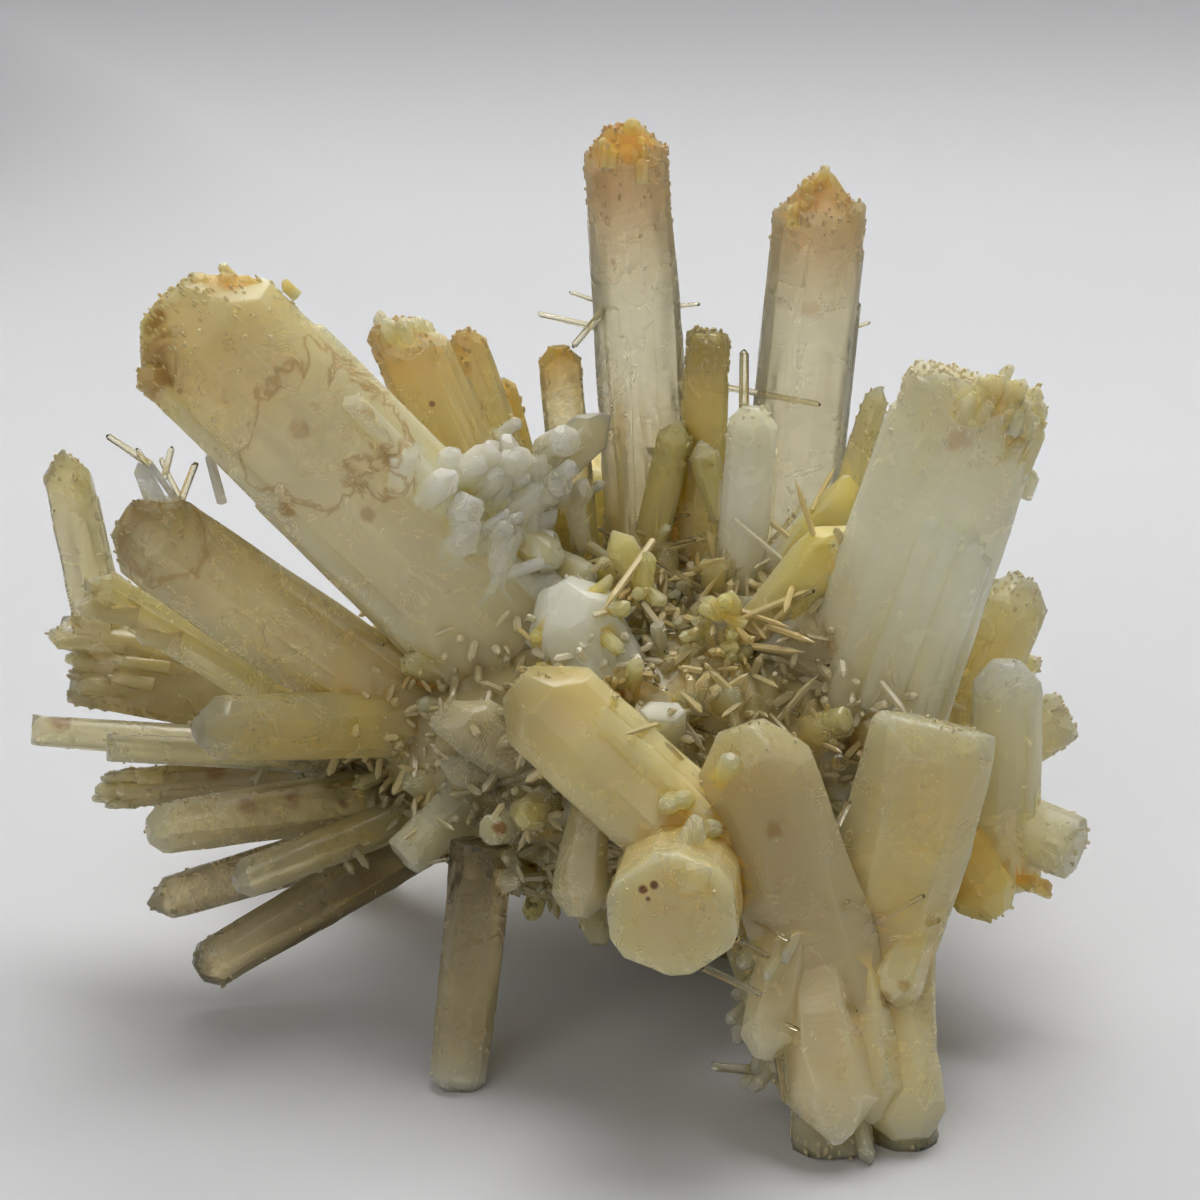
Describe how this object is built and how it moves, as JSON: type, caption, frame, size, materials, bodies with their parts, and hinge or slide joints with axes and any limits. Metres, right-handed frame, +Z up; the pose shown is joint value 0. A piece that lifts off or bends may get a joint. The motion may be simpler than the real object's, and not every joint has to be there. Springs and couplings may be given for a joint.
{
  "type": "mango quartz cluster",
  "caption": "Free-standing cluster of intergrown cloudy yellow quartz crystals radiating from one core, resting on its broken base.",
  "frame": {"origin": "on the surface it rests on, under the middle of the cluster's outer box", "axes": "+Z up, -Y to the front that the picture shows, +X to the right seen from the front"},
  "size_m": [0.0958, 0.0772, 0.0785],
  "materials": {
    "quartz": "cloudy, waxy, with clear windows and rust-coloured specks"
  },
  "bodies": {
    "root": {"quartz_cluster": "quartz"}
  },
  "joints": []
}
